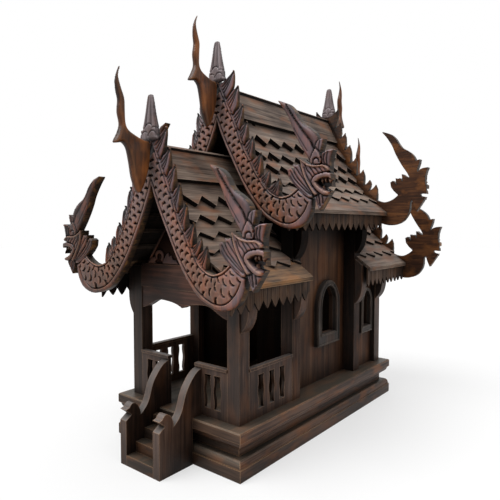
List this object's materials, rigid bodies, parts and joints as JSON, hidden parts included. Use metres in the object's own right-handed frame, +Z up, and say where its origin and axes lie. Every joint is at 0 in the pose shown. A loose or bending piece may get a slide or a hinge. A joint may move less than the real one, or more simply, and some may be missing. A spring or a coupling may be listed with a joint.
{
  "type": "spirit house",
  "caption": "Carved dark wood spirit house: porch with stair, tall hall and low rear wing under steep roofs with naga bargeboards and horned finials.",
  "frame": {"origin": "on the floor under the middle of the rectangular base", "axes": "+Z up, -Y towards the porch and stair, +X towards the house's right-hand side seen from the front"},
  "size_m": [0.508, 0.802, 0.757],
  "materials": {
    "base_wood": "dark oiled teak, worn lighter along its edges",
    "frame_wood": "dark stained teak, satin",
    "wall_boards": "dark stained teak boards, satin",
    "roof_boards": "weathered teak boards, dry and greyer than the walls",
    "fringe_wood": "weathered teak, thin sawn slats",
    "carved_wood": "carved teak, stained and waxed, mauve-grey on its high points",
    "finial_wood": "honey-brown oiled teak"
  },
  "bodies": {
    "root": {"base_cornice": "base_wood", "front_balustrades": "frame_wood", "front_lintel": "frame_wood", "gable_spires": "carved_wood", "hall_front_gable": "wall_boards", "hall_front_posts": "frame_wood", "hall_front_walls": "wall_boards", "hall_rear_posts": "frame_wood", "hall_rear_wall": "wall_boards", "hall_wall_left": "wall_boards", "hall_wall_right": "wall_boards", "hall_window_frames": "frame_wood", "low_eave_brackets": "frame_wood", "lower_plinth": "base_wood", "main_eave_brackets": "frame_wood", "main_fringes": "fringe_wood", "main_front_finial": "finial_wood", "main_front_naga_left": "carved_wood", "main_front_naga_right": "carved_wood", "main_rear_finial": "finial_wood", "main_rear_naga_left": "carved_wood", "main_rear_naga_right": "carved_wood", "main_roof_left": "roof_boards", "main_roof_right": "roof_boards", "main_skirts": "roof_boards", "platform_slab": "base_wood", "plinth_waist": "base_wood", "porch_finial": "finial_wood", "porch_fringes": "fringe_wood", "porch_naga_left": "carved_wood", "porch_naga_right": "carved_wood", "porch_pediment": "frame_wood", "porch_posts": "frame_wood", "porch_roof_left": "roof_boards", "porch_roof_right": "roof_boards", "porch_side_plates": "frame_wood", "porch_skirts": "roof_boards", "side_balustrades": "frame_wood", "stair_steps": "base_wood", "stair_stringers": "base_wood", "wing_finial": "finial_wood", "wing_fringes": "fringe_wood", "wing_naga_left": "carved_wood", "wing_naga_right": "carved_wood", "wing_posts": "frame_wood", "wing_rear_wall": "wall_boards", "wing_roof_left": "roof_boards", "wing_roof_right": "roof_boards", "wing_skirts": "roof_boards", "wing_wall_left": "wall_boards", "wing_wall_right": "wall_boards", "wing_window_frames": "frame_wood"}
  },
  "joints": []
}
